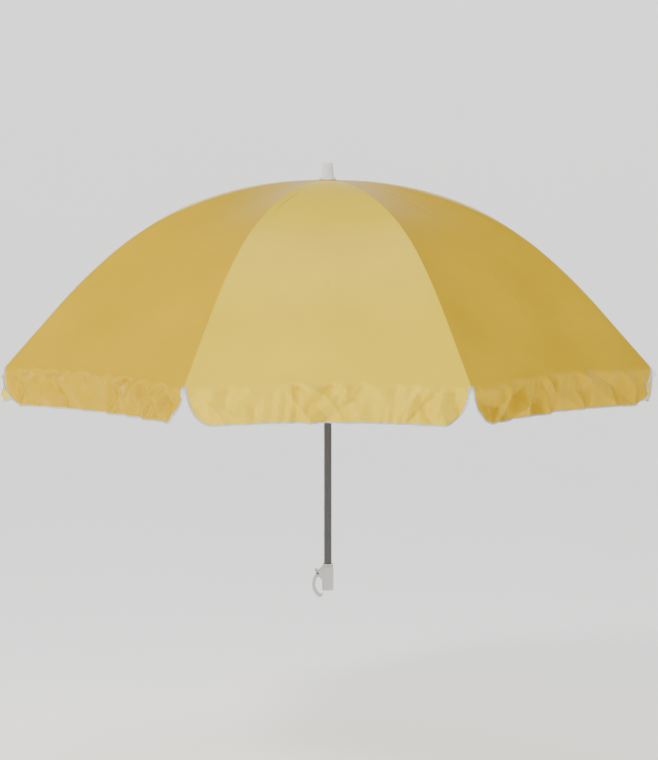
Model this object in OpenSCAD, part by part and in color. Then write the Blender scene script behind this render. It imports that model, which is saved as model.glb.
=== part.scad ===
// Beach umbrella with eight ribs, a push-up runner and a clip-on socket for its lower pole.
// The origin is the centre of the socket's mouth, with +Z up along the pole.

/* [Canopy] */
// Height of the canopy's top above the socket's mouth
canopy_z = 862; // [830:1:890]
// Thickness of the canopy fabric
fabric_t = 0.8; // [0.6:0.1:1]
// Height of the valance that hangs from the rim
valance_h = 80; // [60:1:100]

/* [Ribs] */
// Diameter of the rib and stretcher rods
rod_d = 4; // [3.6:0.1:4.2]
// Length of a stretcher between its two pivots
stretcher_length = 360; // [350:1:372]

/* [Pole] */
// Outside diameter of the upper pole
pole_d = 16; // [15:0.5:16.5]
// Wall of the upper pole
pole_wall = 0.8; // [0.6:0.1:0.9]

/* [Socket] */
// Outside diameter of the collar
collar_d = 24; // [23.5:0.5:28]
// Height of the collar
collar_h = 56; // [52:1:70]
// Bore of the socket, for a 19 mm lower pole
socket_d = 19.2; // [18:0.1:19.6]
// Depth of the socket
socket_depth = 30; // [24:1:32]

/* [Finial] */
// Height of the finial above the canopy
finial_h = 37; // [28:1:50]

/* [Hidden] */
count = 8;
numbers = [1 : count];
$fn = 48;
sector = 360 / count;
half = sector / 2;
slack = 0.1;               // radial play of a pin in its hole
eye_t = 2;                 // thickness of a flattened rod end
slot_w = 2.8;              // slot that a flattened rod end moves in
wire_d = 2.4;              // wire that the rod ends are threaded on
wire_bore = wire_d + 2 * slack;

// The canopy's line over a rib, from the crown out: [length, bend radius], where 0 is straight
fabric_line = [[20, 0], [310, 830], [170, 580], [160, 1090], [160, 0]];
fabric_from = 12;
fabric_joint = 372;
fabric_end = 817;
fabric_gap = 0.3;
crown = [0, canopy_z, 0];

// A rib's line, which runs under the canopy's
hub_r = 16;
hub_drop = 9;
rib_line = [[23, 0], [289, 773], [168, 574], [159, 1085], [180, 0]];
rib_root = [hub_r, canopy_z - hub_drop, 0];
blade_end = 26;
bracket_s = 342;
bracket_drop = 8;
flex_s = 356;
rib_end = 813;
seam_gap = 0.1;            // groove between two stretches of one rod
cap_s = 797;

// Crown hub
hub_d = 44;
hub_top = canopy_z - 4;
hub_bottom = canopy_z - 14;
sleeve_d = 22;
sleeve_bottom = canopy_z - 34;
crown_rivet_z = canopy_z - 27;

// Pole and collar
pole_bottom = socket_depth + 2;
pole_top = canopy_z - 4.2;
bore_r = pole_d / 2 - pole_wall;
collar_rivet_z = collar_h - 11;
rivet_d = 3;

// Runner
runner_r = 20;
runner_d = 50;
pivot = at_bracket();
runner_z = pivot[1] - sqrt(pow(stretcher_length, 2) - pow(pivot[0] - runner_r, 2));
runner_top = runner_z + 6;
runner_bottom = runner_z - 27;
runner_sleeve_d = 25;
latch_z = runner_bottom - 0.4;
latch_h = 8;
latch_out = 4.4;

// Hook lever
lever_pin = [-21, 36];
lever_t = 6.4;
arm_centre = [0.3, 12.7];
arm_r = 30;

// [radius, height, slope] after a length of one arc that starts at p
function arc_end(p, length, radius) =
    radius == 0
    ? [p[0] + length * cos(p[2]), p[1] - length * sin(p[2]), p[2]]
    : let (turn = length / radius * 180 / PI)
      [
          p[0] + radius * (sin(p[2] + turn) - sin(p[2])),
          p[1] - radius * (cos(p[2]) - cos(p[2] + turn)),
          p[2] + turn
      ];

// [radius, height, slope] at a length s along a line of arcs that starts at p
function along(line, s, p, k = 0) =
    k == len(line) - 1 || s <= line[k][0]
    ? arc_end(p, s, line[k][1])
    : along(line, s - line[k][0], arc_end(p, line[k][0], line[k][1]), k + 1);

function rib_at(s) = along(rib_line, s, rib_root);
function fabric_at(s) = along(fabric_line, s, crown);

// Length of the line before arc k
function before(line, k) = k == 0 ? 0 : line[k - 1][0] + before(line, k - 1);

// Centre of the stretcher's pivot, under the rib
function at_bracket() =
    let (p = rib_at(bracket_s))
    [p[0] - bracket_drop * sin(p[2]), p[1] - bracket_drop * cos(p[2])];

function rib_angle(k) = -90 - half + sector * (k - 1);
function gore_angle(k) = -90 + sector * (k - 1);

// Puts a child in rib k's plane
module at_rib(k) {
    rotate([0, 0, rib_angle(k)]) children();
}

// Puts a child in gore k's middle plane
module at_gore(k) {
    rotate([0, 0, gore_angle(k)]) children();
}

// Puts a child at p = [radius, height, slope], with its X axis along the rod
module on_line(p) {
    translate([p[0], 0, p[1]]) rotate([0, p[2], 0]) children();
}

// A cylinder along Y, centred on a point of the XZ plane
module pin(x, z, d, length) {
    translate([x, 0, z]) rotate([90, 0, 0]) cylinder(d = d, h = length, center = true);
}

// A pin with a flat head at each end
module riveted(x, z, d, length, head_d, head_t) {
    pin(x, z, d, length + head_t);
    for (side = [-1, 1]) {
        translate([0, side * (length + head_t) / 2, 0]) pin(x, z, head_d, head_t);
    }
}

// A plate of thickness t across Y, with its outline in the XZ plane
module plate(t) {
    rotate([90, 0, 0]) linear_extrude(height = t, center = true) children();
}

// One stretch of rod from p, straight or bent down
module rod_stretch(p, length, radius) {
    if (radius == 0) {
        on_line(p) rotate([0, 90, 0]) cylinder(d = rod_d, h = length);
    } else {
        turn = length / radius * 180 / PI;
        translate([p[0] - radius * sin(p[2]), 0, p[1] - radius * cos(p[2])])
            rotate([90, 0, 0])
            rotate([0, 0, 90 - p[2] - turn])
            rotate_extrude(angle = turn)
            translate([radius, 0])
            circle(d = rod_d);
    }
}

// The rod of a rib between two lengths along its line, with a spigot inside each seam
module rib_rod(from, to) {
    for (k = [0 : len(rib_line) - 1]) {
        start = max(from, before(rib_line, k));
        stop = min(to, before(rib_line, k + 1));
        seam = stop < to ? seam_gap : 0;
        if (stop > start) {
            rod_stretch(rib_at(start), stop - start - seam, rib_line[k][1]);
            if (seam > 0) {
                on_line(rib_at(stop)) rotate([0, 90, 0]) cylinder(d = rod_d - 1, h = 4, center = true);
            }
        }
    }
}

// Radial slots for the rod ends, between two heights
module slots(inner_r, outer_r, bottom, top) {
    for (k = numbers) {
        at_rib(k) translate([inner_r, -slot_w / 2, bottom]) cube([outer_r - inner_r, slot_w, top - bottom]);
    }
}

module wire_ring(radius, z, d) {
    translate([0, 0, z]) rotate_extrude() translate([radius, 0]) circle(d = d);
}

module pole_tube() {
    color("silver") difference() {
        translate([0, 0, pole_bottom]) cylinder(d = pole_d, h = pole_top - pole_bottom);
        translate([0, 0, pole_bottom - 1]) cylinder(r = bore_r, h = pole_top - pole_bottom + 2);
        pin(0, crown_rivet_z, rivet_d + slack, 2 * pole_d);
        pin(0, collar_rivet_z, rivet_d + slack, 2 * pole_d);
        translate([0, -slot_w / 2, latch_z - latch_h - 0.3]) cube([pole_d, slot_w, latch_h + 0.6]);
    }
}

module finial() {
    base = 1.4;
    color("whitesmoke") translate([0, 0, canopy_z]) rotate_extrude() polygon([
        [3, -22], [bore_r - slack, -22], [bore_r - slack, base], [18.5, base], [18.5, base + 1.4],
        [15.5, base + 3.4], [13.2, base + 6.6], [12.4, base + 11],
        [11.2, finial_h - 1.4], [9.8, finial_h], [0, finial_h], [0, finial_h - 3], [3, finial_h - 3]
    ]);
}

module top_washer() {
    color("gold") translate([0, 0, canopy_z + 0.3]) difference() {
        cylinder(r = 17, h = 0.8);
        translate([0, 0, -1]) cylinder(r = bore_r + 0.4, h = 3);
    }
}

module crown_hub() {
    color("whitesmoke") difference() {
        union() {
            translate([0, 0, hub_bottom]) cylinder(d = hub_d, h = hub_top - hub_bottom);
            translate([0, 0, sleeve_bottom]) cylinder(d = sleeve_d, h = hub_bottom - sleeve_bottom + 1);
        }
        translate([0, 0, sleeve_bottom - 1]) cylinder(r = pole_d / 2 + 0.05, h = 40);
        slots(11.5, hub_d, hub_bottom - 0.5, hub_top + 1);
        wire_ring(hub_r, rib_root[1], wire_d + slack);
        pin(0, crown_rivet_z, rivet_d + slack, 2 * sleeve_d);
    }
}

module crown_ring() {
    color("silver") wire_ring(hub_r, rib_root[1], wire_d);
}

module rivets() {
    color("silver") {
        riveted(0, crown_rivet_z, rivet_d, sleeve_d, 5.6, 1);
        riveted(0, collar_rivet_z, rivet_d, collar_d, 5.6, 1);
    }
}

module collar() {
    outer = collar_d / 2;
    socket = socket_d / 2;
    seat = pole_d / 2 + 0.05;
    ear_gap = lever_t + 0.6;
    ear_t = 2.6;
    color("whitesmoke") difference() {
        union() {
            rotate_extrude() polygon([
                [socket, 0], [outer - 0.6, 0], [outer, 0.8], [outer, collar_h - 6],
                [outer - 1.4, collar_h - 3], [outer - 1.4, collar_h], [seat, collar_h],
                [seat, pole_bottom], [6, pole_bottom], [6, socket_depth], [socket, socket_depth]
            ]);
            for (side = [-1, 1]) {
                translate([0, side * (ear_gap + ear_t) / 2, 0]) plate(ear_t) {
                    polygon([[-10, 51], [-21, 40.5], [-25, 36], [-21, 31.5], [-10, 19]]);
                    translate(lever_pin) circle(r = 4.5);
                }
            }
        }
        pin(0, collar_rivet_z, rivet_d + slack, 2 * collar_d);
        pin(lever_pin[0], lever_pin[1], rivet_d + slack, collar_d);
    }
}

module lever_pin() {
    color("dimgray") riveted(lever_pin[0], lever_pin[1], rivet_d, lever_t + 5.8, 4.6, 0.7);
}

module hook_lever() {
    from = 137;
    to = 236;
    end = arm_centre + arm_r * [cos(to), sin(to)];
    color("whitesmoke") difference() {
        plate(lever_t) {
            translate(lever_pin) circle(r = 4.6);
            // Thumb tab above the pin
            translate(lever_pin) rotate(118) translate([0, -3]) square([8, 6]);
            translate(lever_pin + 8 * [cos(118), sin(118)]) circle(r = 3);
            // Arm that bows out and under the collar
            difference() {
                translate(arm_centre) circle(r = arm_r + 3.4);
                translate(arm_centre) circle(r = arm_r - 3.4);
                translate(arm_centre) polygon([
                    [0, 0], 60 * [cos(to), sin(to)], [0, -70], [70, -70],
                    [70, 70], [0, 70], 60 * [cos(from), sin(from)]
                ]);
            }
            // Hooked tip
            translate(end) circle(r = 3.4);
            translate(end) rotate(34) translate([0, -2.4]) square([5, 4.4]);
            translate(end + 5 * [cos(34), sin(34)]) circle(r = 2.2);
        }
        pin(lever_pin[0], lever_pin[1], rivet_d + slack, 2 * lever_t);
    }
}

module runner() {
    color("whitesmoke") difference() {
        union() {
            translate([0, 0, runner_z - 5]) cylinder(d = runner_d, h = 10);
            translate([0, 0, runner_bottom]) cylinder(d = runner_sleeve_d, h = runner_top - runner_bottom);
        }
        translate([0, 0, runner_bottom - 1]) cylinder(r = pole_d / 2 + 0.08, h = 40);
        slots(15.5, runner_d, runner_z - 6, runner_z + 7);
        wire_ring(runner_r, runner_z, wire_d + slack);
    }
}

module runner_ring() {
    color("silver") difference() {
        wire_ring(runner_r, runner_z, wire_d);
        slots(15.5, runner_d, runner_z - 6, runner_z + 7);
    }
}

// Spring latch that stands out of the pole under the runner
module runner_catch() {
    out = pole_d / 2 + latch_out;
    color("silver") plate(2.2) polygon([
        [-1.6, latch_z], [out, latch_z], [out, latch_z - 1.4], [pole_d / 2 - 0.1, latch_z - latch_h],
        [bore_r - 0.5, latch_z - latch_h], [bore_r - 0.5, latch_z - 15], [-1, latch_z - 15],
        [-1, latch_z - 50], [-1.6, latch_z - 50]
    ]);
}

module rib(k) {
    p = rib_at(bracket_s);
    color("silver") at_rib(k) {
        // Flattened end with its eye, then the rod
        difference() {
            union() {
                pin(rib_root[0], rib_root[1], 7, eye_t);
                translate([rib_root[0], -eye_t / 2, rib_root[1] - 2.5]) cube([blade_end, eye_t, 5]);
                rib_rod(blade_end - 7, flex_s - rod_d / 2 - 0.1);
            }
            pin(rib_root[0], rib_root[1], wire_bore, 2 * eye_t);
        }
        // Bracket clipped over the rod, and its rivet
        on_line(p) {
            difference() {
                translate([-8, -3.4, -12]) cube([16, 6.8, 15]);
                translate([-9, 0, 0]) rotate([0, 90, 0]) cylinder(d = rod_d + 2 * slack, h = 18);
                translate([-9, -2.2, -13]) cube([18, 4.4, 12]);
                pin(0, -bracket_drop, rivet_d + slack, 20);
            }
            riveted(0, -bracket_drop, rivet_d, 6.8, 5, 0.8);
        }
    }
}

module rib_tip(k) {
    p = rib_at(flex_s);
    color("silver") at_rib(k) {
        translate([p[0], 0, p[1]]) sphere(d = rod_d);
        rib_rod(flex_s, rib_end);
    }
    color("white") at_rib(k) on_line(rib_at(cap_s)) rotate([0, 90, 0]) rotate_extrude() polygon([
        [rod_d / 2 + 0.1, 0], [3.4, 0], [3.4, 14], [2.8, 19], [1.6, 21.5], [0, 22], [0, 17],
        [rod_d / 2 + 0.1, 17]
    ]);
}

module stretcher(k) {
    tilt = atan2(pivot[1] - runner_z, pivot[0] - runner_r);
    color("silver") at_rib(k) translate([runner_r, 0, runner_z]) rotate([0, -tilt, 0]) {
        difference() {
            union() {
                pin(0, 0, 6, eye_t);
                translate([0, -eye_t / 2, -2.4]) cube([24, eye_t, 4.8]);
                translate([18, 0, 0]) rotate([0, 90, 0]) cylinder(d = rod_d, h = stretcher_length - 26);
                translate([stretcher_length - 11, -1.8, -2.8]) cube([11, 3.6, 5.6]);
                pin(stretcher_length, 0, 6.4, 3.6);
            }
            pin(0, 0, wire_bore, 2 * eye_t);
            pin(stretcher_length, 0, rivet_d + slack, 2 * eye_t + 4);
        }
        // Its own length of the runner's wire, which leaves the slot with it
        pin(0, 0, wire_d, eye_t);
    }
}

// A band of one gore between two lengths along the canopy's line, flat from rib to rib
module gore_band(from, to, steps) {
    rows = [for (n = [0 : steps]) fabric_at(from + (to - from) * n / steps)];
    points = [
        for (p = rows, drop = [0, fabric_t], side = [-1, 1])
            [p[0] * cos(half), side * (p[0] * sin(half) - fabric_gap), p[1] - drop]
    ];
    walls = [
        for (n = [0 : steps - 1], q = [[0, 1, 5, 4], [2, 6, 7, 3], [0, 4, 6, 2], [1, 3, 7, 5]])
            [for (i = q) 4 * n + i]
    ];
    ends = [[0, 2, 3, 1], [for (i = [0, 1, 3, 2]) 4 * steps + i]];
    polyhedron(points = points, faces = concat(walls, ends));
}

function gore_colour(k) = k % 2 == 1 ? "khaki" : "gold";

module gore_upper(k) {
    color(gore_colour(k)) at_gore(k) gore_band(fabric_from, fabric_joint - fabric_gap / 2, 14);
}

module gore_lower(k) {
    color(gore_colour(k)) at_gore(k) gore_band(fabric_joint + fabric_gap / 2, fabric_end, 16);
}

module valance(k) {
    rim = fabric_at(fabric_end);
    wide = rim[0] * sin(half) - 6;
    corner = [48, 56];
    curve = [for (a = [0 : 10 : 90])
        [wide - corner[0] * (1 - cos(a)), -valance_h + corner[1] * (1 - sin(a))]];
    color(gore_colour(k)) at_gore(k) translate([rim[0] * cos(half) + fabric_gap, 0, rim[1] - 0.6])
        rotate([90, 0, 90]) linear_extrude(height = fabric_t) polygon(concat(
            [[-wide, 0], [wide, 0]],
            curve,
            [for (n = [len(curve) - 1 : -1 : 0]) [-curve[n][0], curve[n][1]]]
        ));
}

pole_tube();
finial();
top_washer();
crown_hub();
crown_ring();
rivets();
collar();
lever_pin();
hook_lever();
runner();
runner_ring();
runner_catch();
for (k = numbers) {
    rib(k);
    rib_tip(k);
    stretcher(k);
    gore_upper(k);
    gore_lower(k);
    valance(k);
}
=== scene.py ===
import bisect
import math

import bmesh
import bpy
from mathutils import Matrix, Vector, noise


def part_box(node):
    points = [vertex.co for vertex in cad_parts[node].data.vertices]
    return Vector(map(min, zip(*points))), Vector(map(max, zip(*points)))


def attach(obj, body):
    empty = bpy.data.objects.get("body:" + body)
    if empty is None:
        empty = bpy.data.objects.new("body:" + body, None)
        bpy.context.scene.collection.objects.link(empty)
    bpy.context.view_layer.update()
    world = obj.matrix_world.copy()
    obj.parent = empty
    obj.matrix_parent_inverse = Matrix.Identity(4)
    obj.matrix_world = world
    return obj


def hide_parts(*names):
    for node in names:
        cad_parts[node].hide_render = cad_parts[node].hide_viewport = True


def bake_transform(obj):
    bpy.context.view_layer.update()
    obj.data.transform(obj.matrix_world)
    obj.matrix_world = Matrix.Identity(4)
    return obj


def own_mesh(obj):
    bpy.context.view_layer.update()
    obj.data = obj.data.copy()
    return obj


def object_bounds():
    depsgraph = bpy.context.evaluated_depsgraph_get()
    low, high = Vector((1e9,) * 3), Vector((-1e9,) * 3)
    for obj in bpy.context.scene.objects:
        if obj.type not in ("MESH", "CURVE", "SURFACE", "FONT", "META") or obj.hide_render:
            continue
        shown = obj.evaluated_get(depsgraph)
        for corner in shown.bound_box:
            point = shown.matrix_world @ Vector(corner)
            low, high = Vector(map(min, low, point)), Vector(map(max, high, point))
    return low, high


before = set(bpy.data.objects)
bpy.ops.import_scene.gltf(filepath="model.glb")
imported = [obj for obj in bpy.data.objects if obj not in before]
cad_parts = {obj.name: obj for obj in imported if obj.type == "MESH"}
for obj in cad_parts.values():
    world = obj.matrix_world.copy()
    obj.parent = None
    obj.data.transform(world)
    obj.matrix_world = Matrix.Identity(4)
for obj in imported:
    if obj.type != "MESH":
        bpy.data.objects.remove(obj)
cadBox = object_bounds()

ribCount = 8
halfSector = math.pi / ribCount
cosHalf = math.cos(halfSector)
sinHalf = math.sin(halfSector)
axisUp = Vector((0, 0, 1))


def smooth(low, high, x):
    t = min(1, max(0, (x - low) / (high - low)))
    return t * t * (3 - 2 * t)


def linkObject(name, data):
    piece = bpy.data.objects.new(name, data)
    bpy.context.collection.objects.link(piece)
    return piece


# camera

cameraSetup = {"distance": 5.73, "elevation": 5.8, "aimX": 0.0025, "aimUp": 0.003, "fieldOfView": 15.8}


def makeCamera():
    tilt = math.radians(cameraSetup["elevation"])
    middle = (cadBox[0].z + cadBox[1].z) / 2
    aim = Vector((cameraSetup["aimX"], 0, middle + cameraSetup["aimUp"]))
    data = bpy.data.cameras.new("camera")
    data.angle = math.radians(cameraSetup["fieldOfView"])
    camera = linkObject("camera", data)
    camera.location = aim + cameraSetup["distance"] * Vector((0, -math.cos(tilt), math.sin(tilt)))
    camera.rotation_euler = (math.pi / 2 - tilt, 0, 0)
    bpy.context.scene.camera = camera


makeCamera()
print("camera set")


# materials

def nodeMaterial(name, color, settings):
    material = bpy.data.materials.new(name)
    material.use_nodes = True
    shader = material.node_tree.nodes["Principled BSDF"]
    shader.inputs["Base Color"].default_value = (*color, 1)
    for socket, value in settings.items():
        shader.inputs[socket].default_value = value
    return material, material.node_tree, shader


def addNode(tree, kind, **settings):
    node = tree.nodes.new(kind)
    for name, value in settings.items():
        setattr(node, name, value)
    return node


def noiseNode(tree, vector, scale, detail, roughness=0.5):
    node = addNode(tree, "ShaderNodeTexNoise")
    node.inputs["Scale"].default_value = scale
    node.inputs["Detail"].default_value = detail
    node.inputs["Roughness"].default_value = roughness
    tree.links.new(vector, node.inputs["Vector"])
    return node.outputs["Fac"]


def objectPoints(tree, stretch=(1, 1, 1)):
    coordinates = addNode(tree, "ShaderNodeTexCoord")
    mapping = addNode(tree, "ShaderNodeMapping")
    mapping.inputs["Scale"].default_value = stretch
    tree.links.new(coordinates.outputs["Object"], mapping.inputs["Vector"])
    return mapping.outputs["Vector"]


def clothPoints(tree):
    return addNode(tree, "ShaderNodeUVMap", uv_map="cloth").outputs["UV"]


def spread(tree, value, low, high):
    node = addNode(tree, "ShaderNodeMapRange")
    node.inputs["To Min"].default_value = low
    node.inputs["To Max"].default_value = high
    tree.links.new(value, node.inputs["Value"])
    return node.outputs["Result"]


def shadeBy(tree, shader, value, dark, light):
    ramp = addNode(tree, "ShaderNodeValToRGB")
    ramp.color_ramp.elements[0].color = (*dark, 1)
    ramp.color_ramp.elements[1].color = (*light, 1)
    ramp.color_ramp.elements[0].position = 0.3
    ramp.color_ramp.elements[1].position = 0.7
    tree.links.new(value, ramp.inputs["Fac"])
    tree.links.new(ramp.outputs["Color"], shader.inputs["Base Color"])
    return ramp.outputs["Color"]


def bumpFrom(tree, shader, height, strength, depth):
    node = addNode(tree, "ShaderNodeBump")
    node.inputs["Strength"].default_value = strength
    node.inputs["Distance"].default_value = depth
    tree.links.new(height, node.inputs["Height"])
    tree.links.new(node.outputs["Normal"], shader.inputs["Normal"])
    return node


def scaled(color, share):
    return tuple(c * share for c in color)


taffeta = {"thread": 0.0011, "bump": 0.25, "roughness": 0.34, "through": 0.14, "mottle": 0.05}
fabricColors = {"light": (0.92, 0.665, 0.022), "gold": (0.70, 0.445, 0.0)}


def taffetaMaterial(name, color):
    material, tree, shader = nodeMaterial(name, color, {
        "Roughness": taffeta["roughness"], "Specular IOR Level": 0.2})
    cloth = clothPoints(tree)
    mottle = noiseNode(tree, objectPoints(tree), 7, 4)
    dyed = shadeBy(tree, shader, mottle, scaled(color, 1 - taffeta["mottle"]),
                   scaled(color, 1 + taffeta["mottle"]))
    threads = []
    for direction in ("X", "Y"):
        wave = addNode(tree, "ShaderNodeTexWave", bands_direction=direction)
        wave.inputs["Scale"].default_value = 0.314 / taffeta["thread"]
        tree.links.new(cloth, wave.inputs["Vector"])
        threads.append(wave.outputs["Fac"])
    weave = addNode(tree, "ShaderNodeMath", operation="MAXIMUM")
    tree.links.new(threads[0], weave.inputs[0])
    tree.links.new(threads[1], weave.inputs[1])
    bump = bumpFrom(tree, shader, weave.outputs["Value"], taffeta["bump"], 0.00008)
    tree.links.new(spread(tree, mottle, taffeta["roughness"] - 0.05, taffeta["roughness"] + 0.07),
                   shader.inputs["Roughness"])
    behind = addNode(tree, "ShaderNodeBsdfTranslucent")
    tree.links.new(dyed, behind.inputs["Color"])
    tree.links.new(bump.outputs["Normal"], behind.inputs["Normal"])
    mix = addNode(tree, "ShaderNodeMixShader")
    mix.inputs["Fac"].default_value = taffeta["through"]
    tree.links.new(shader.outputs["BSDF"], mix.inputs[1])
    tree.links.new(behind.outputs["BSDF"], mix.inputs[2])
    tree.links.new(mix.outputs["Shader"], tree.nodes["Material Output"].inputs["Surface"])
    return material


def plasticMaterial(name, color, settings, grain=900):
    material, tree, shader = nodeMaterial(name, color, settings)
    points = objectPoints(tree)
    cloud = noiseNode(tree, points, 60, 3)
    shadeBy(tree, shader, cloud, scaled(color, 0.94), scaled(color, 1.03))
    tree.links.new(spread(tree, cloud, settings["Roughness"] - 0.06, settings["Roughness"] + 0.08),
                   shader.inputs["Roughness"])
    bumpFrom(tree, shader, noiseNode(tree, points, grain, 2), 0.12, 0.00012)
    return material


def metalMaterial(name, color, settings, stretch=(1, 1, 1)):
    material, tree, shader = nodeMaterial(name, color, settings)
    drawn = noiseNode(tree, objectPoints(tree, stretch), 240, 5, 0.65)
    shadeBy(tree, shader, drawn, scaled(color, 0.86), scaled(color, 1.08))
    tree.links.new(spread(tree, drawn, settings["Roughness"] - 0.08, settings["Roughness"] + 0.1),
                   shader.inputs["Roughness"])
    bumpFrom(tree, shader, drawn, 0.18, 0.0001)
    return material


def bindingMaterial(name, color):
    material, tree, shader = nodeMaterial(name, color, {"Roughness": 0.7, "Sheen Weight": 0.2})
    cloth = clothPoints(tree)
    wave = addNode(tree, "ShaderNodeTexWave", bands_direction="X")
    wave.inputs["Scale"].default_value = 260
    wave.inputs["Distortion"].default_value = 1.5
    tree.links.new(cloth, wave.inputs["Vector"])
    shadeBy(tree, shader, wave.outputs["Fac"], scaled(color, 0.4), scaled(color, 1.02))
    bumpFrom(tree, shader, wave.outputs["Fac"], 0.5, 0.0003)
    return material


lightFabric = taffetaMaterial("lightTaffeta", fabricColors["light"])
goldFabric = taffetaMaterial("goldTaffeta", fabricColors["gold"])
# painted shade: this white plastic gets a mid-grey base colour, darker than its own white, for the shade
# these parts sit in under the canopy
whitePlasticPaintedShade = plasticMaterial("whitePlasticPaintedShade", (0.50, 0.50, 0.515), {"Roughness": 0.42})
capPlastic = plasticMaterial("capPlastic", (0.80, 0.80, 0.77), {"Roughness": 0.38})
clearPlastic = plasticMaterial("clearPlastic", (0.90, 0.91, 0.94), {
    "Roughness": 0.25, "Transmission Weight": 0.12, "IOR": 1.49, "Subsurface Weight": 0.3,
    "Subsurface Radius": (0.01, 0.01, 0.01), "Subsurface Scale": 0.5})
# painted shade: the pole's base colour is darkened far below its own satin grey, standing in for the shade
# the canopy casts on it
poleMetalPaintedShade = metalMaterial("poleMetalPaintedShade", (0.075, 0.075, 0.08), {"Metallic": 0.5, "Roughness": 0.42},
                          (1, 1, 0.02))
ribSteel = metalMaterial("ribSteel", (0.62, 0.62, 0.62), {"Metallic": 0.6, "Roughness": 0.38},
                         (0.4, 0.4, 0.4))
wireSteel = metalMaterial("wireSteel", (0.55, 0.55, 0.56), {"Metallic": 1.0, "Roughness": 0.28})
rivetSteel = metalMaterial("rivetSteel", (0.56, 0.56, 0.57), {"Metallic": 1.0, "Roughness": 0.3})
darkSteel = metalMaterial("darkSteel", (0.07, 0.07, 0.075), {"Metallic": 0.9, "Roughness": 0.35})
whiteBinding = bindingMaterial("whiteBinding", (0.80, 0.80, 0.76))
print("materials made")


# the canopy's line over a rib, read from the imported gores

def canopyRows():
    rows = {}
    for name in ("gore_upper_1", "gore_lower_1"):
        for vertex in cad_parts[name].data.vertices:
            apothem = round(-vertex.co.y, 5)
            rows[apothem] = max(rows.get(apothem, -1), vertex.co.z)
    line = [(apothem / cosHalf, z) for apothem, z in sorted(rows.items())]
    lengths = [0]
    for before, after in zip(line, line[1:]):
        lengths.append(lengths[-1] + math.dist(before, after))
    return line, lengths


ribLine, ribLengths = canopyRows()
lineEnd = ribLengths[-1]
upperEnd = -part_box("gore_upper_1")[0].y / cosHalf
bandJoint = ribLengths[bisect.bisect_left([r for r, z in ribLine], upperEnd - 1e-5)]


def lineAt(s):
    k = min(max(bisect.bisect_right(ribLengths, s) - 1, 0), len(ribLine) - 2)
    span = ribLengths[k + 1] - ribLengths[k]
    t = (s - ribLengths[k]) / span
    points = [ribLine[max(k - 1, 0)], ribLine[k], ribLine[k + 1], ribLine[min(k + 2, len(ribLine) - 1)]]
    places = [ribLengths[max(k - 1, 0)], ribLengths[k], ribLengths[k + 1],
              ribLengths[min(k + 2, len(ribLine) - 1)]]
    found = []
    for axis in (0, 1):
        leave = (points[2][axis] - points[0][axis]) / (places[2] - places[0]) * span
        arrive = (points[3][axis] - points[1][axis]) / (places[3] - places[1]) * span
        found.append((2 * t ** 3 - 3 * t ** 2 + 1) * points[1][axis] + (t ** 3 - 2 * t ** 2 + t) * leave
                     + (3 * t ** 2 - 2 * t ** 3) * points[2][axis] + (t ** 3 - t ** 2) * arrive)
    return found


# gores: one sheet above the stretchers and one below, cut from the same surface

goreLook = {"thickness": 0.0006, "sag": 0.006, "scallop": 0.012, "wander": 0.0014, "centreCrease": 0.0005,
            "fanDepth": 0.0012, "fanReach": 0.2, "fanFolds": 9, "pucker": 0.0009, "across": 44,
            "upperRows": 54, "lowerRows": 66, "keep": 0.09}
probe = 0.0004  # step for reading a surface's slope


def goreAxes(k):
    angle = math.radians(-90 + 45 * (k - 1))
    out = Vector((math.cos(angle), math.sin(angle), 0))
    return out, axisUp.cross(out)


def fanCreases(k, across, down):
    reach = math.hypot(across, down)
    turn = math.atan2(across, down)
    folds = (0.5 + 0.5 * math.cos(goreLook["fanFolds"] * 2 * turn + k)) ** 3
    fade = math.exp(-(reach / goreLook["fanReach"]) ** 2) * smooth(0.01, 0.06, reach)
    return folds * fade * smooth(0.08, 0.25, turn) * (1 - smooth(0.75, 1.15, turn))


def gorePoint(k, u, s):
    out, side = goreAxes(k)
    edge = 1 - u * u
    pulled = s - goreLook["scallop"] * edge * smooth(bandJoint, lineEnd, s)
    r, z = lineAt(pulled)
    nextR, nextZ = lineAt(pulled + probe)
    slope = math.atan2(z - nextZ, nextR - r)
    across = u * r * sinHalf
    rise = -goreLook["sag"] * edge * smooth(0.03, 0.3, s) * (1 - smooth(0.5, 0.78, s))
    rise += goreLook["wander"] * edge * noise.noise(Vector((across * 9, s * 5, k * 3.7)))
    fromRib = max(0, 1 - abs(u)) * r * sinHalf
    rise += goreLook["fanDepth"] * edge * fanCreases(k + (1 if u > 0 else 0), fromRib, max(0, lineEnd - s))
    rise += goreLook["centreCrease"] * math.exp(-(across / 0.004) ** 2) * smooth(0.08, 0.14, s)
    hemward = math.exp(-max(0, lineEnd - s) / 0.022)
    rise += goreLook["pucker"] * edge * hemward * noise.noise(Vector((across * 38, s * 6, k * 5.1)))
    normal = out * math.sin(slope) + axisUp * math.cos(slope)
    return out * r * cosHalf + side * across + axisUp * z + normal * rise


def surfaceNormal(place, u, v, stepU, stepV):
    alongU = place(u + stepU, v) - place(u - stepU, v)
    alongV = place(u, v + stepV) - place(u, v - stepV)
    return alongV.cross(alongU).normalized()


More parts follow.
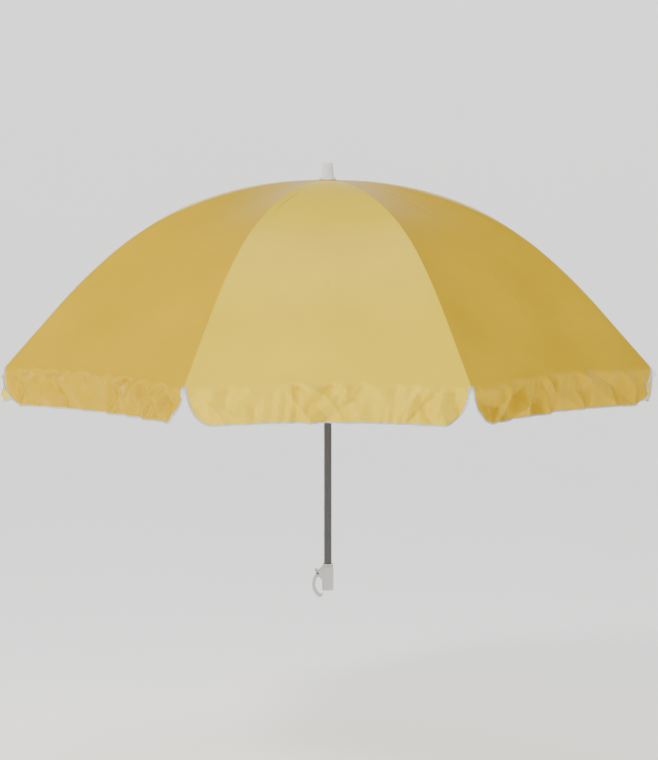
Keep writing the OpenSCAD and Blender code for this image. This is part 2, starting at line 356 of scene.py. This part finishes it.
def sheetPiece(name, rows, normals, cloth, thickness, material):
    height = len(rows)
    width = len(rows[0])
    top = [p for row in rows for p in row]
    facing = [n for row in normals for n in row]
    flat = [c for row in cloth for c in row]
    count = len(top)
    vertices = top + [p - n * thickness for p, n in zip(top, facing)]
    faces = []
    for i in range(height - 1):
        for j in range(width - 1):
            a = i * width + j
            faces.append((a, a + width, a + width + 1, a + 1))
    faces += [tuple(count + a for a in reversed(face)) for face in faces]
    ring = [i * width for i in range(height)]
    ring += [(height - 1) * width + j for j in range(1, width)]
    ring += [i * width + width - 1 for i in range(height - 2, -1, -1)]
    ring += [j for j in range(width - 2, 0, -1)]
    for a, b in zip(ring, ring[1:] + ring[:1]):
        faces.append((a, a + count, b + count, b))
    mesh = bpy.data.meshes.new(name)
    mesh.from_pydata([tuple(p) for p in vertices], [], faces)
    uv = mesh.uv_layers.new(name="cloth")
    shading = []
    halfFaces = (height - 1) * (width - 1)
    for polygon in mesh.polygons:
        below = halfFaces <= polygon.index < 2 * halfFaces
        for corner in polygon.loop_indices:
            vertex = mesh.loops[corner].vertex_index % count
            uv.data[corner].uv = flat[vertex]
            shading.append(-facing[vertex] if below else facing[vertex])
    mesh.polygons.foreach_set("use_smooth", [True] * len(mesh.polygons))
    mesh.normals_split_custom_set(shading)
    mesh.materials.append(material)
    return linkObject(name, mesh)


def fabricOf(k):
    return (lightFabric, "light_fabric") if k % 2 else (goldFabric, "gold_fabric")


def makeGoreBand(k, label, low, high, rowCount):
    place = lambda u, s: gorePoint(k, u, s)
    rows, normals, cloth = [], [], []
    for i in range(rowCount + 1):
        s = low + (high - low) * i / rowCount
        r = lineAt(s)[0]
        us = [-1 + 2 * j / goreLook["across"] for j in range(goreLook["across"] + 1)]
        rows.append([place(u, s) for u in us])
        normals.append([surfaceNormal(place, u, s, probe / max(0.02, r), probe) for u in us])
        cloth.append([(u * r * sinHalf, s) for u in us])
    material, slotName = fabricOf(k)
    piece = sheetPiece(f"gore_{label}_sheet_{k}", rows, normals, cloth, goreLook["thickness"], material)
    node = f"gore_{label}_{k}"
    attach(piece, node)
    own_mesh(piece)
    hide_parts(node)
    wide = 2 * lineAt(high)[0] * sinHalf
    narrow = 2 * lineAt(low)[0] * sinHalf


for k in range(1, ribCount + 1):
    makeGoreBand(k, "upper", 0, bandJoint, goreLook["upperRows"])
    makeGoreBand(k, "lower", bandJoint, lineEnd, goreLook["lowerRows"])
print("gores cut")


# valances: crinkled strips that fold over the rim and hang, with a bound edge

valanceLook = {"height": 0.08, "bend": 0.016, "inset": 0.0025, "cornerWide": 0.05, "cornerTall": 0.076,
               "crumple": 0.0092, "allowance": 0.010, "thickness": 0.0006, "step": 0.0028, "rows": 34,
               "cornerSteps": 14, "warp": 0.022, "sway": 0.004, "flareTall": 0.018, "calmEdge": 0.03,
               "tuckBelow": 0.0013}
# each family of folds: its turn in degrees, its spacing and its share of the depth
foldFamilies = ((6, 0.062, 1.0), (-28, 0.048, 0.85), (47, 0.053, 0.75), (-58, 0.066, 0.6), (15, 0.023, 0.25))
rimR, rimZ = lineAt(lineEnd)
rimHalf = rimR * sinHalf
straightHalf = rimHalf - valanceLook["inset"]
beforeRim = lineAt(lineEnd - 0.004)
rimSlope = math.atan2(beforeRim[1] - rimZ, rimR - beforeRim[0])


def hangTable():
    step = 0.0005
    table = [(0, 0)]
    for n in range(int(0.1 / step)):
        angle = rimSlope + (math.pi / 2 - rimSlope) * smooth(0, valanceLook["bend"], (n + 0.5) * step)
        table.append((table[-1][0] + step * math.cos(angle), table[-1][1] + step * math.sin(angle)))
    return table, step


hang, hangStep = hangTable()


def hangAt(h):
    n = min(int(h / hangStep), len(hang) - 2)
    t = h / hangStep - n
    return [hang[n][axis] * (1 - t) + hang[n + 1][axis] * t for axis in (0, 1)]


def creased(t):
    return abs((t % 1) * 2 - 1) * 2 - 1


def crumple(k, x, h):
    shiftX = valanceLook["warp"] * noise.noise(Vector((x * 11, h * 9, k * 2.3)))
    shiftH = valanceLook["warp"] * noise.noise(Vector((x * 11 + 7, h * 9 + 3, k * 2.3)))
    total = 0
    for n, (turn, length, depth) in enumerate(foldFamilies):
        angle = math.radians(turn)
        along = (x + shiftX) * math.cos(angle) + (h + shiftH) * math.sin(angle)
        patch = noise.noise(Vector((x * 13 + 31 * n, h * 10, k * 4.9 + n * 5)))
        total += depth * smooth(-0.15, 0.4, patch) * creased(along / length + k * 0.37)
    return total


def bottomAt(x):
    past = abs(x) - (straightHalf - valanceLook["cornerWide"])
    if past <= 0:
        return valanceLook["height"]
    share = min(1, past / valanceLook["cornerWide"])
    return valanceLook["height"] - valanceLook["cornerTall"] * (1 - math.sqrt(1 - share * share))


def valancePoint(k, x, h):
    out = goreAxes(k)[0]
    flare = 1 + (rimHalf / straightHalf - 1) * (1 - smooth(0, valanceLook["flareTall"], h))
    wideX = x * flare
    u = wideX / rimHalf
    if h <= 0:
        rim = gorePoint(k, u, lineEnd + h)
        slopeNormal = out * math.sin(rimSlope) + axisUp * math.cos(rimSlope)
        return rim - slopeNormal * valanceLook["tuckBelow"] * smooth(0, 0.002, -h)
    rim = gorePoint(k, u, lineEnd)
    outward, down = hangAt(h)
    edge = smooth(0, valanceLook["calmEdge"], straightHalf - abs(x))
    puff = valanceLook["crumple"] * crumple(k, x, h) * smooth(0.001, 0.02, h) * (0.35 + 0.65 * edge)
    sway = valanceLook["sway"] * noise.noise(Vector((x * 6, k * 7.7, 0.5))) * smooth(0.02, 0.08, h)
    return rim + out * (outward + puff + sway) - axisUp * down


def makeValance(k):
    place = lambda x, h: valancePoint(k, x, h)
    corner = valanceLook["cornerWide"]
    middle = straightHalf - corner
    steps = round(2 * middle / valanceLook["step"])
    xs = [middle * (2 * n / steps - 1) for n in range(steps + 1)]
    bend = [middle + corner * math.sin(math.pi / 2 * n / valanceLook["cornerSteps"])
            for n in range(1, valanceLook["cornerSteps"] + 1)]
    xs = [-x for x in reversed(bend)] + xs + bend
    rows, normals, cloth = [], [], []
    tucked = [-valanceLook["allowance"], -0.006, -0.003, -0.001]
    for i in range(len(tucked) + valanceLook["rows"] + 1):
        n = (i - len(tucked)) / valanceLook["rows"]
        hs = [tucked[i] if n < 0 else n * bottomAt(x) for x in xs]
        rows.append([place(x, h) for x, h in zip(xs, hs)])
        normals.append([surfaceNormal(place, x, h, probe, probe) for x, h in zip(xs, hs)])
        cloth.append(list(zip(xs, hs)))
    material, slotName = fabricOf(k)
    piece = sheetPiece(f"valance_sheet_{k}", rows, normals, cloth, valanceLook["thickness"], material)
    return piece, slotName


bindingLook = {"wide": 0.0032, "thick": 0.0016, "lip": 0.0007, "step": 0.003, "sideSteps": 8, "arcSteps": 24}


def edgeRoute():
    low = valanceLook["height"] - valanceLook["cornerTall"]
    middle = straightHalf - valanceLook["cornerWide"]
    wide, tall = valanceLook["cornerWide"], valanceLook["cornerTall"]
    sideSteps, arcSteps = bindingLook["sideSteps"], bindingLook["arcSteps"]
    route = [(straightHalf, low * n / sideSteps, (1, 0)) for n in range(1, sideSteps)]
    for n in range(arcSteps + 1):
        angle = math.pi / 2 * n / arcSteps
        away = Vector((math.cos(angle) / wide, math.sin(angle) / tall)).normalized()
        route.append((middle + wide * math.cos(angle), low + tall * math.sin(angle), tuple(away)))
    steps = round(middle / bindingLook["step"])
    route += [(middle * (1 - n / steps), valanceLook["height"], (0, 1)) for n in range(1, steps + 1)]
    mirrored = [(-x, h, (-a, b)) for x, h, (a, b) in reversed(route[:-1])]
    return route + mirrored


def makeBinding(k):
    out = goreAxes(k)[0]
    wide, thick = bindingLook["wide"], bindingLook["thick"]
    vertices, flats = [], []
    travelled = 0
    sides = 6
    route = edgeRoute()
    for n, (x, h, (awayX, awayH)) in enumerate(route):
        if n:
            travelled += math.dist((x, h), route[n - 1][:2])
        inner = valancePoint(k, x - awayX * wide, max(0.001, h - awayH * wide))
        edge = valancePoint(k, x, h)
        direction = (edge - inner).normalized()
        back = thick * 0.5 + valanceLook["thickness"] / 2
        front = out * (thick * 0.5 - valanceLook["thickness"] / 2)
        tip = edge + direction * bindingLook["lip"]
        vertices += [inner + front * 0.8, edge + front, tip + front * 0.4,
                     tip - out * back * 0.6, edge - out * back, inner - out * back * 0.9]
        flats += [(travelled, 0.001 * m) for m in range(sides)]
    faces = []
    for n in range(len(route) - 1):
        for m in range(sides):
            a, b = n * sides + m, n * sides + (m + 1) % sides
            faces.append((a, a + sides, b + sides, b))
    faces.append(tuple(range(sides)))
    faces.append(tuple(len(vertices) - 1 - m for m in range(sides)))
    mesh = bpy.data.meshes.new(f"binding_{k}")
    mesh.from_pydata([tuple(p) for p in vertices], [], faces)
    uv = mesh.uv_layers.new(name="cloth")
    for corner in mesh.loops:
        uv.data[corner.index].uv = flats[corner.vertex_index]
    mesh.polygons.foreach_set("use_smooth", [True] * len(mesh.polygons))
    mesh.materials.append(whiteBinding)
    shape = bmesh.new()
    shape.from_mesh(mesh)
    bmesh.ops.recalc_face_normals(shape, faces=shape.faces)
    shape.to_mesh(mesh)
    shape.free()
    return linkObject(f"binding_{k}", mesh)


for k in range(1, ribCount + 1):
    valance, slotName = makeValance(k)
    binding = makeBinding(k)
    for piece in (valance, binding):
        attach(piece, f"valance_{k}")
        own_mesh(piece)
    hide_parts(f"valance_{k}")
print("valances hung")


# seam tapes inside the canopy, one along each rib

tapeLook = {"wide": 0.028, "below": 0.0016, "thickness": 0.0005, "rows": 90, "across": 6,
            "first": 0.006, "short": 0.004, "blend": 0.035}


def makeSeamTape(k):
    angle = math.radians(-112.5 + 45 * (k - 1))
    out = Vector((math.cos(angle), math.sin(angle), 0))
    side = axisUp.cross(out)
    place = lambda across, s: tapePoint(out, side, across, s)
    rows, normals, cloth = [], [], []
    first, last = tapeLook["first"], lineEnd - tapeLook["short"]
    half = tapeLook["wide"] / 2
    for i in range(tapeLook["rows"] + 1):
        s = first + (last - first) * i / tapeLook["rows"]
        xs = [half * (2 * j / tapeLook["across"] - 1) for j in range(tapeLook["across"] + 1)]
        rows.append([place(x, s) for x in xs])
        normals.append([surfaceNormal(place, x, s, probe, probe) for x in xs])
        cloth.append([(x, s) for x in xs])
    piece = sheetPiece(f"seam_tape_{k}", rows, normals, cloth, tapeLook["thickness"], goldFabric)
    start, end = (out * lineAt(bandJoint - shift)[0] + axisUp * lineAt(bandJoint - shift)[1]
                  for shift in (tapeLook["blend"], 0))
    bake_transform(piece)


def tapePoint(out, side, across, s):
    r, z = lineAt(s)
    nextR, nextZ = lineAt(s + probe)
    slope = math.atan2(z - nextZ, nextR - r)
    normal = out * math.sin(slope) + axisUp * math.cos(slope)
    dip = abs(across) * math.tan(halfSector) * math.sin(slope)  # the gores fall away on both sides of a rib
    return out * r + side * across + axisUp * z - normal * (tapeLook["below"] + dip)


for k in range(1, ribCount + 1):
    makeSeamTape(k)
print("seam tapes sewn")


# white caps pushed on the rib ends, standing out past the corners of the cloth

capLook = {"start": 0.018, "below": 0.0050, "sides": 20,
           "rings": ((0, 0.0024), (0.0008, 0.0031), (0.004, 0.0034), (0.0048, 0.0030), (0.014, 0.0031),
                     (0.025, 0.0028), (0.0285, 0.0024), (0.0302, 0.0016), (0.0308, 0.0006))}


def makeCap(k):
    angle = math.radians(-112.5 + 45 * (k - 1))
    out = Vector((math.cos(angle), math.sin(angle), 0))
    along = out * math.cos(rimSlope) - axisUp * math.sin(rimSlope)
    normal = out * math.sin(rimSlope) + axisUp * math.cos(rimSlope)
    start = out * rimR + axisUp * rimZ - along * capLook["start"] - normal * capLook["below"]
    turned = along.to_track_quat("Z", "Y").to_matrix().to_4x4()
    shape = bmesh.new()
    reach, size = capLook["rings"][0]
    bmesh.ops.create_circle(shape, cap_ends=True, segments=capLook["sides"], radius=size,
                            matrix=Matrix.Translation(start) @ turned)
    shape.faces.ensure_lookup_table()
    end = shape.faces[0]
    for nextReach, nextSize in capLook["rings"][1:]:
        made = bmesh.ops.extrude_face_region(shape, geom=[end])["geom"]
        end = [f for f in made if isinstance(f, bmesh.types.BMFace)][0]
        centre = start + along * nextReach
        for vertex in end.verts:
            spoke = vertex.co - start
            spoke -= along * spoke.dot(along)
            vertex.co = centre + spoke.normalized() * nextSize
    bmesh.ops.recalc_face_normals(shape, faces=shape.faces)
    for face in shape.faces:
        face.smooth = len(face.verts) == 4
    mesh = bpy.data.meshes.new(f"tip_cap_{k}")
    shape.to_mesh(mesh)
    shape.free()
    mesh.materials.append(capPlastic)
    piece = linkObject(f"tip_cap_{k}", mesh)
    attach(piece, f"rib_tip_{k}")


for k in range(1, ribCount + 1):
    makeCap(k)
print("caps on")


# finishes of the frame's own parts

def finish(node, material):
    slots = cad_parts[node].material_slots
    if not slots:
        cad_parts[node].data.materials.append(material)
    for entry in slots:
        entry.material = material


cappedLook = {"capLength": 0.0221, "rod": (0.56, 0.56, 0.56, 1), "cap": (0.80, 0.80, 0.77, 1), "metal": 0.65,
              "grain": 240}


# a rod's outer end is its cap, so the finish changes at a length along the rib
def cappedRodMaterial():
    material, tree, shader = nodeMaterial("cappedRod", cappedLook["rod"][:3], {})
    lean = (math.cos(rimSlope), math.sin(rimSlope))
    reach = max(math.hypot(v.co.x, v.co.y) * lean[0] - v.co.z * lean[1]
                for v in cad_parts["rib_tip_1"].data.vertices)
    points = addNode(tree, "ShaderNodeTexCoord").outputs["Object"]
    apart = addNode(tree, "ShaderNodeSeparateXYZ")
    flat = addNode(tree, "ShaderNodeVectorMath", operation="MULTIPLY")
    flat.inputs[1].default_value = (1, 1, 0)
    size = addNode(tree, "ShaderNodeVectorMath", operation="LENGTH")
    tree.links.new(points, flat.inputs[0])
    tree.links.new(points, apart.inputs[0])
    tree.links.new(flat.outputs["Vector"], size.inputs[0])
    down = addNode(tree, "ShaderNodeMath", operation="MULTIPLY")
    down.inputs[1].default_value = -lean[1]
    along = addNode(tree, "ShaderNodeMath", operation="MULTIPLY_ADD")
    along.inputs[1].default_value = lean[0]
    tree.links.new(apart.outputs["Z"], down.inputs[0])
    tree.links.new(size.outputs["Value"], along.inputs[0])
    tree.links.new(down.outputs["Value"], along.inputs[2])
    isCap = addNode(tree, "ShaderNodeMath", operation="GREATER_THAN")
    isCap.inputs[1].default_value = reach - cappedLook["capLength"]
    tree.links.new(along.outputs["Value"], isCap.inputs[0])
    speckle = noiseNode(tree, points, cappedLook["grain"], 4)
    dyed = addNode(tree, "ShaderNodeMix", data_type="RGBA")
    dyed.inputs[6].default_value = cappedLook["rod"]
    dyed.inputs[7].default_value = cappedLook["cap"]
    tree.links.new(isCap.outputs["Value"], dyed.inputs["Factor"])
    tree.links.new(dyed.outputs[2], shader.inputs["Base Color"])
    tree.links.new(spread(tree, isCap.outputs["Value"], cappedLook["metal"], 0), shader.inputs["Metallic"])
    tree.links.new(spread(tree, speckle, 0.3, 0.45), shader.inputs["Roughness"])
    bumpFrom(tree, shader, speckle, 0.15, 0.0001)
    return material


cappedRod = cappedRodMaterial()
plainFinishes = {"pole_tube": poleMetalPaintedShade, "finial": clearPlastic, "top_washer": goldFabric,
                 "crown_hub": whitePlasticPaintedShade, "crown_ring": wireSteel, "rivets": rivetSteel,
                 "collar": whitePlasticPaintedShade, "lever_pin": darkSteel, "hook_lever": whitePlasticPaintedShade,
                 "runner": whitePlasticPaintedShade, "runner_ring": wireSteel, "runner_catch": wireSteel}
for node, material in plainFinishes.items():
    finish(node, material)
for k in range(1, ribCount + 1):
    finish(f"rib_{k}", ribSteel)
    finish(f"stretcher_{k}", ribSteel)
    finish(f"rib_tip_{k}", cappedRod)
print("frame finished")


# floor, backdrop and lights

studio = {"floorBelow": 0.42, "radius": 11.0, "round": 5.0, "rise": 6.0, "glow": 0.74, "sides": 96}
lamps = {
    "key": {"from": (-3.0, -3.4, 4.2), "size": 1.1, "watts": 235},
    "fill": {"from": (3.6, -4.0, 2.2), "size": 2.6, "watts": 14},
    "top": {"from": (0.2, 0.3, 4.6), "size": 2.2, "watts": 45},
}
worldLight = 0.3


def makeBackdrop():
    shape = bmesh.new()
    floorZ = cadBox[0].z - studio["floorBelow"]
    flat = studio["radius"] - studio["round"]
    profile = [(0, floorZ), (flat, floorZ)]
    for n in range(1, 17):
        angle = math.pi / 2 * n / 16
        profile.append((flat + studio["round"] * math.sin(angle),
                        floorZ + studio["round"] * (1 - math.cos(angle))))
    profile.append((studio["radius"], floorZ + studio["rise"]))
    line = [shape.verts.new((r, 0, z)) for r, z in profile]
    edges = [shape.edges.new(pair) for pair in zip(line, line[1:])]
    bmesh.ops.spin(shape, geom=line + edges, cent=(0, 0, 0), axis=(0, 0, 1), angle=2 * math.pi,
                   steps=studio["sides"], use_merge=True)
    bmesh.ops.remove_doubles(shape, verts=shape.verts, dist=0.0001)
    bmesh.ops.recalc_face_normals(shape, faces=shape.faces)
    if sum(face.normal.z for face in shape.faces) < 0:
        bmesh.ops.reverse_faces(shape, faces=shape.faces)
    mesh = bpy.data.meshes.new("backdrop")
    shape.to_mesh(mesh)
    shape.free()
    mesh.polygons.foreach_set("use_smooth", [True] * len(mesh.polygons))
    paper, tree, shader = nodeMaterial("palePaper", (0.93, 0.93, 0.92), {
        "Roughness": 0.9, "Specular IOR Level": 0.1, "Emission Color": (1, 1, 1, 1),
        "Emission Strength": studio["glow"]})
    shadeBy(tree, shader, noiseNode(tree, objectPoints(tree), 2, 3), (0.92, 0.92, 0.91), (0.94, 0.94, 0.93))
    mesh.materials.append(paper)
    linkObject("backdrop", mesh)


def makeLights():
    middle = (cadBox[0] + cadBox[1]) / 2
    for name, lamp in lamps.items():
        data = bpy.data.lights.new(name, "AREA")
        data.shape = "DISK"
        data.size = lamp["size"]
        data.energy = lamp["watts"]
        light = linkObject(name, data)
        light.location = lamp["from"]
        light.rotation_euler = (Vector(lamp["from"]) - middle).to_track_quat("Z", "Y").to_euler()
    world = bpy.data.worlds.new("studio")
    world.use_nodes = True
    world.node_tree.nodes["Background"].inputs["Color"].default_value = (1, 1, 1, 1)
    world.node_tree.nodes["Background"].inputs["Strength"].default_value = worldLight
    bpy.context.scene.world = world


makeBackdrop()
makeLights()
print("studio lit")
